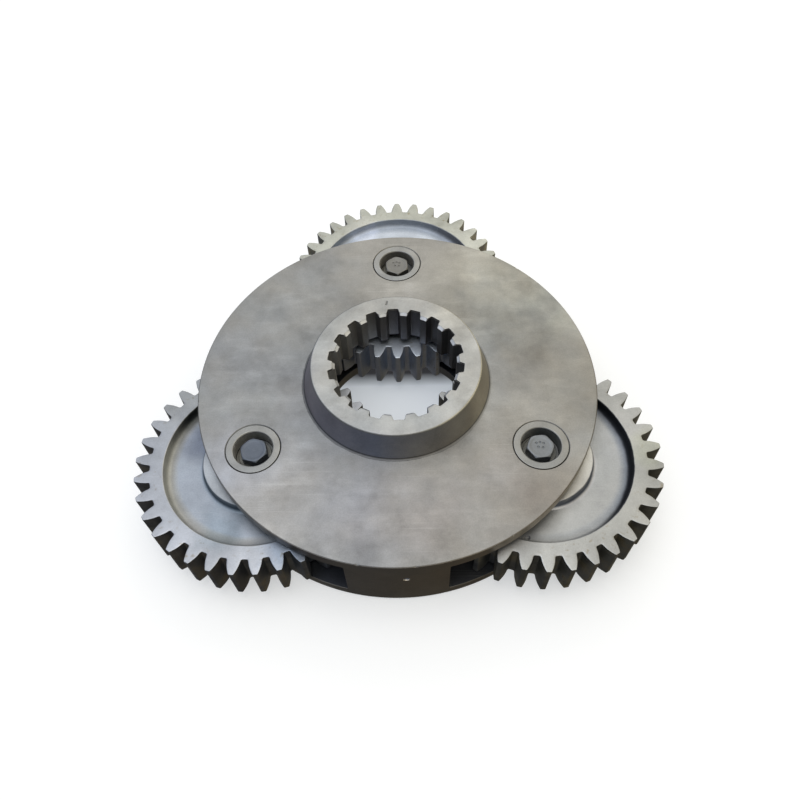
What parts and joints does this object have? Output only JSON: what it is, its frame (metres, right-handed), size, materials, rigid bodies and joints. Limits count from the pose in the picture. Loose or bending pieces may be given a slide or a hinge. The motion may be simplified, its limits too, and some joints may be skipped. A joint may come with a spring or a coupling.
{
  "type": "planet carrier assembly",
  "caption": "Round two-plate planet carrier with a tapered internally splined hub and recessed spur planet gears on bolted pins.",
  "frame": {"origin": "on the main axis, at the underside of the lower plate", "axes": "+Z along the main axis towards the splined hub; +Y from the main axis towards the rear planet's pin; +X across the two front planets"},
  "size_m": [0.2714, 0.253, 0.0582],
  "materials": {
    "carrier_steel": "turned steel, dull, with smudges and fine scratches",
    "gear_steel": "ground teeth, forged grey web with a straw heat tint",
    "pin_steel": "ground",
    "bolt_steel": "oiled dark steel",
    "washer_steel": "plain steel",
    "roller_steel": "polished",
    "cage_steel": "pressed steel",
    "thrust_bronze": "dull bronze"
  },
  "bodies": {
    "carrier": {"carrier": "carrier_steel", "splined_hub": "carrier_steel", "planet_pin_rear": "pin_steel", "planet_pin_left": "pin_steel", "planet_pin_right": "pin_steel", "thrust_washer_upper_rear": "thrust_bronze", "thrust_washer_upper_left": "thrust_bronze", "thrust_washer_upper_right": "thrust_bronze", "thrust_washer_lower_rear": "thrust_bronze", "thrust_washer_lower_left": "thrust_bronze", "thrust_washer_lower_right": "thrust_bronze", "bolt_washer_rear": "washer_steel", "bolt_washer_left": "washer_steel", "bolt_washer_right": "washer_steel", "pin_bolt_rear": "bolt_steel", "pin_bolt_left": "bolt_steel", "pin_bolt_right": "bolt_steel"},
    "planet_rear": {"planet_gear_rear": "gear_steel"},
    "cage_rear": {"roller_cage_rear": "cage_steel", "needle_rollers_rear": "roller_steel"},
    "planet_left": {"planet_gear_left": "gear_steel"},
    "cage_left": {"roller_cage_left": "cage_steel", "needle_rollers_left": "roller_steel"},
    "planet_right": {"planet_gear_right": "gear_steel"},
    "cage_right": {"roller_cage_right": "cage_steel", "needle_rollers_right": "roller_steel"}
  },
  "joints": [
    {"name": "planet_rear_spin", "type": "hinge", "parent": "carrier", "child": "planet_rear", "pos_m": [0, 0.084, 0.021], "axis": [0, 0, 1], "continuous": true},
    {"name": "planet_left_spin", "type": "hinge", "parent": "carrier", "child": "planet_left", "pos_m": [-0.07275, -0.042, 0.021], "axis": [0, 0, 1], "continuous": true},
    {"name": "planet_right_spin", "type": "hinge", "parent": "carrier", "child": "planet_right", "pos_m": [0.07275, -0.042, 0.021], "axis": [0, 0, 1], "continuous": true},
    {"name": "cage_rear_spin", "type": "hinge", "parent": "carrier", "child": "cage_rear", "pos_m": [0, 0.084, 0.021], "axis": [0, 0, 1], "continuous": true},
    {"name": "cage_left_spin", "type": "hinge", "parent": "carrier", "child": "cage_left", "pos_m": [-0.07275, -0.042, 0.021], "axis": [0, 0, 1], "continuous": true},
    {"name": "cage_right_spin", "type": "hinge", "parent": "carrier", "child": "cage_right", "pos_m": [0.07275, -0.042, 0.021], "axis": [0, 0, 1], "continuous": true}
  ],
  "couplings": [
    {"joint": "cage_rear_spin", "follows": "planet_rear_spin", "ratio": 0.5625},
    {"joint": "cage_left_spin", "follows": "planet_left_spin", "ratio": 0.5625},
    {"joint": "cage_right_spin", "follows": "planet_right_spin", "ratio": 0.5625}
  ]
}
